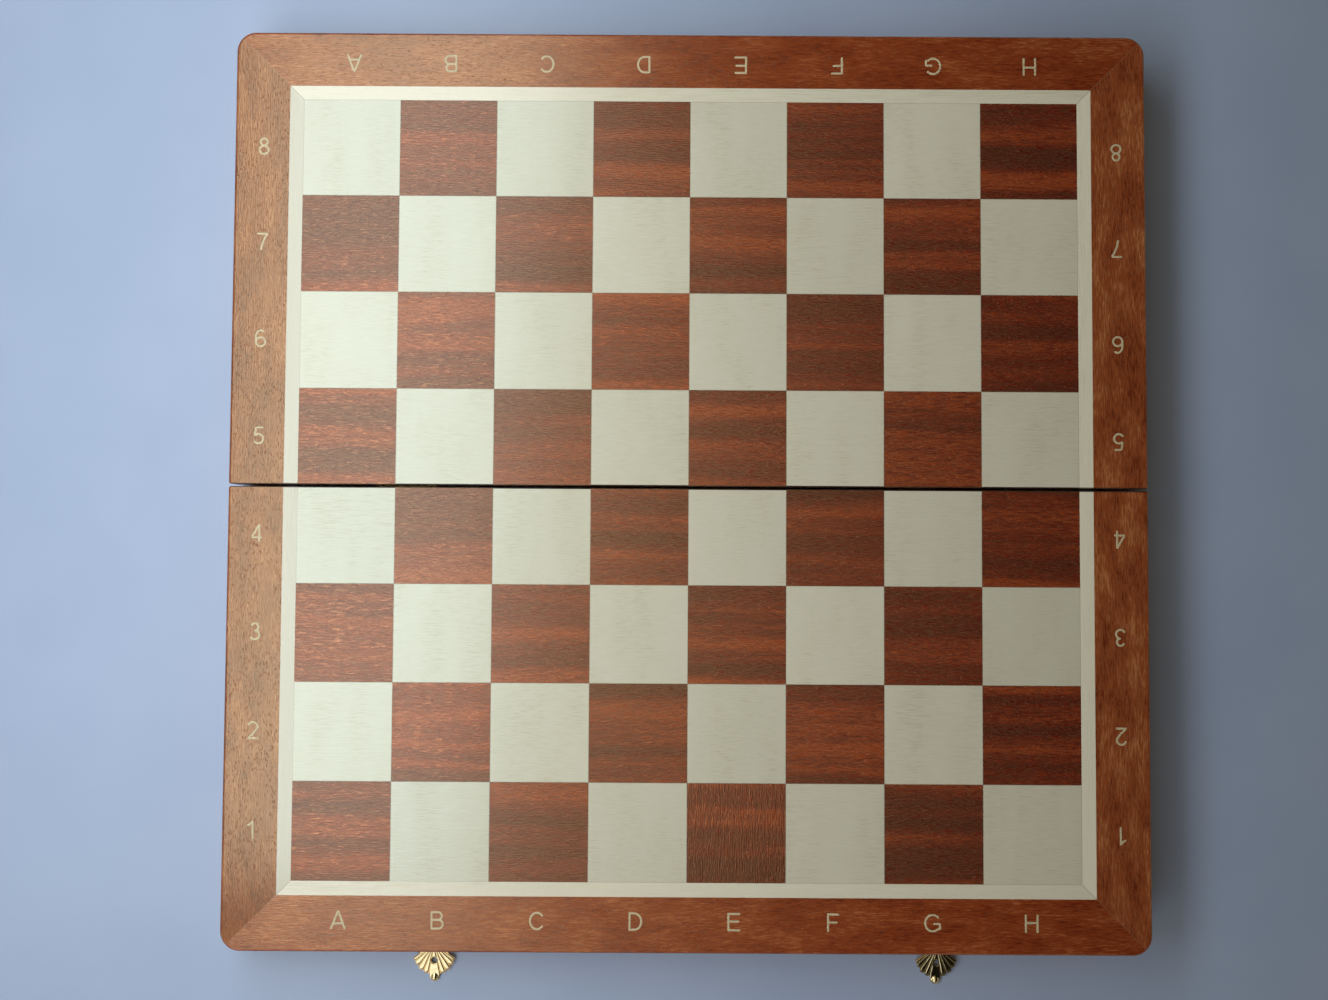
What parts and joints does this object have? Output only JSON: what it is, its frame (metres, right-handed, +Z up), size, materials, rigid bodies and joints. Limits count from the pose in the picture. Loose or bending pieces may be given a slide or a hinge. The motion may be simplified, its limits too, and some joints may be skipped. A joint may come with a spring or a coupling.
{
  "type": "folding chess storage case",
  "caption": "Shallow hinged wooden case that opens flat into a chess board, with divided felt-lined storage inside and brass fan clasps on the front wall.",
  "frame": {"origin": "middle of the fold line, in the plane of the rims that face down while the case is open as a board; the rest-face mount sits on the near half's rim right beside it", "axes": "+X along the files from a to h, +Y from rank 1 to rank 8 (away from the clasps), +Z up, out of the playing surface"},
  "size_m": [0.471, 0.4991, 0.0317],
  "materials": {
    "border": "satin lacquer on mahogany",
    "wall": "satin lacquer on mahogany",
    "dark_square": "satin lacquer on mahogany veneer",
    "light_square": "satin lacquer on maple veneer",
    "stringing": "satin lacquer on maple veneer",
    "panel_core": "bare plywood",
    "divider": "oiled hardwood",
    "felt": "green wool felt",
    "hinge_brass": "rolled brass",
    "clasp_brass": "polished pressed brass",
    "screw": "turned brass",
    "nail": "drawn brass",
    "lettering": "screen-printed cream ink"
  },
  "bodies": {
    "far_half": {"catch_nails": "nail", "far_border_back": "border", "far_border_left": "border", "far_border_right": "border", "far_cross_divider_1": "divider", "far_cross_divider_2": "divider", "far_cross_divider_3": "divider", "far_dark_squares": "dark_square", "far_felt_lining": "felt", "far_hinge_screws": "screw", "far_light_squares": "light_square", "far_long_divider": "divider", "far_panel_core": "panel_core", "far_stringing_back": "stringing", "far_stringing_left": "stringing", "far_stringing_right": "stringing", "far_wall_back": "wall", "far_wall_fold": "wall", "far_wall_left": "wall", "far_wall_right": "wall", "left_catch_plate": "clasp_brass", "left_catch_stud": "clasp_brass", "left_hinge_far_leaf": "hinge_brass", "right_catch_plate": "clasp_brass", "right_catch_stud": "clasp_brass", "right_hinge_far_leaf": "hinge_brass"},
    "near_half": {"clasp_nails": "nail", "left_clasp_pin": "clasp_brass", "left_clasp_plate": "clasp_brass", "left_hinge_near_leaf": "hinge_brass", "left_hinge_pin": "hinge_brass", "near_border_front": "border", "near_border_left": "border", "near_border_right": "border", "near_cross_divider_1": "divider", "near_cross_divider_2": "divider", "near_cross_divider_3": "divider", "near_dark_squares": "dark_square", "near_felt_lining": "felt", "near_hinge_screws": "screw", "near_light_squares": "light_square", "near_long_divider": "divider", "near_panel_core": "panel_core", "near_stringing_front": "stringing", "near_stringing_left": "stringing", "near_stringing_right": "stringing", "near_wall_fold": "wall", "near_wall_front": "wall", "near_wall_left": "wall", "near_wall_right": "wall", "right_clasp_pin": "clasp_brass", "right_clasp_plate": "clasp_brass", "right_hinge_near_leaf": "hinge_brass", "right_hinge_pin": "hinge_brass"},
    "left_flap": {"left_clasp_flap": "clasp_brass"},
    "right_flap": {"right_clasp_flap": "clasp_brass"}
  },
  "joints": [
    {"name": "fold", "type": "hinge", "parent": "near_half", "child": "far_half", "pos_m": [0, 0, -0.0001], "axis": [-1, 0, 0], "range_deg": [-2, 180]},
    {"name": "left_clasp_swing", "type": "hinge", "parent": "near_half", "child": "left_flap", "pos_m": [-0.132, -0.2374, 0.003], "axis": [1, 0, 0], "range_deg": [-91, 78.9]},
    {"name": "right_clasp_swing", "type": "hinge", "parent": "near_half", "child": "right_flap", "pos_m": [0.132, -0.2374, 0.003], "axis": [1, 0, 0], "range_deg": [-91, 78.9]}
  ]
}
